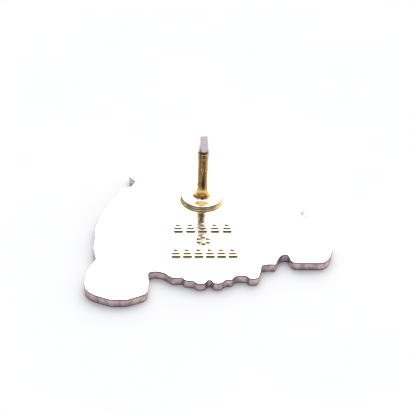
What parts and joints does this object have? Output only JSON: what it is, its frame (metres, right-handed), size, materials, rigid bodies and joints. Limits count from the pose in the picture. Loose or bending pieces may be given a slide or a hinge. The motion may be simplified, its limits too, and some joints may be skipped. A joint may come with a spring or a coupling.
{
  "type": "enamel pin",
  "caption": "Die-struck flower-shaped enamel lapel pin with two leaf lobes, raised marks on its back, and a soldered pad with a grooved, pointed post.",
  "frame": {"origin": "on the post's axis, on the plane of the front face that the pin lies on", "axes": "+Z out of the back along the post, +X to the right seen from the back, +Y up the pin, away from the leaf lobes"},
  "size_m": [0.0274, 0.0256, 0.0092],
  "materials": {
    "plate_metal": "polished nickel plating, brushed on the edge",
    "pad_brass": "polished",
    "post_brass": "drawn wire, lightly polished",
    "solder": "satin",
    "enamel_eye": "glossy soft enamel",
    "enamel_inner": "glossy soft enamel",
    "enamel_middle": "glossy soft enamel",
    "enamel_outer": "glossy soft enamel",
    "enamel_leaf": "glossy soft enamel"
  },
  "bodies": {
    "root": {"base_plate": "plate_metal", "enamel_flower_eye": "enamel_eye", "enamel_inner_petal_01": "enamel_inner", "enamel_inner_petal_02": "enamel_inner", "enamel_inner_petal_03": "enamel_inner", "enamel_inner_petal_04": "enamel_inner", "enamel_inner_petal_05": "enamel_inner", "enamel_inner_petal_06": "enamel_inner", "enamel_left_leaf_01": "enamel_leaf", "enamel_left_leaf_02": "enamel_leaf", "enamel_left_leaf_03": "enamel_leaf", "enamel_left_leaf_04": "enamel_leaf", "enamel_middle_petal_01": "enamel_middle", "enamel_middle_petal_02": "enamel_middle", "enamel_middle_petal_03": "enamel_middle", "enamel_middle_petal_04": "enamel_middle", "enamel_middle_petal_05": "enamel_middle", "enamel_middle_petal_06": "enamel_middle", "enamel_middle_petal_07": "enamel_middle", "enamel_middle_petal_08": "enamel_middle", "enamel_middle_petal_09": "enamel_middle", "enamel_middle_petal_10": "enamel_middle", "enamel_middle_petal_11": "enamel_middle", "enamel_middle_petal_12": "enamel_middle", "enamel_outer_petal_01": "enamel_outer", "enamel_outer_petal_02": "enamel_outer", "enamel_outer_petal_03": "enamel_outer", "enamel_outer_petal_04": "enamel_outer", "enamel_outer_petal_05": "enamel_outer", "enamel_outer_petal_06": "enamel_outer", "enamel_outer_petal_07": "enamel_outer", "enamel_outer_petal_08": "enamel_outer", "enamel_outer_petal_09": "enamel_outer", "enamel_outer_petal_10": "enamel_outer", "enamel_outer_petal_11": "enamel_outer", "enamel_outer_petal_12": "enamel_outer", "enamel_outer_petal_13": "enamel_outer", "enamel_outer_petal_14": "enamel_outer", "enamel_outer_petal_15": "enamel_outer", "enamel_outer_petal_16": "enamel_outer", "enamel_outer_petal_17": "enamel_outer", "enamel_outer_petal_18": "enamel_outer", "enamel_outer_petal_19": "enamel_outer", "enamel_right_leaf_01": "enamel_leaf", "enamel_right_leaf_02": "enamel_leaf", "enamel_right_leaf_03": "enamel_leaf", "enamel_right_leaf_04": "enamel_leaf", "post": "post_brass", "post_pad": "pad_brass", "solder_layer": "solder"}
  },
  "joints": []
}
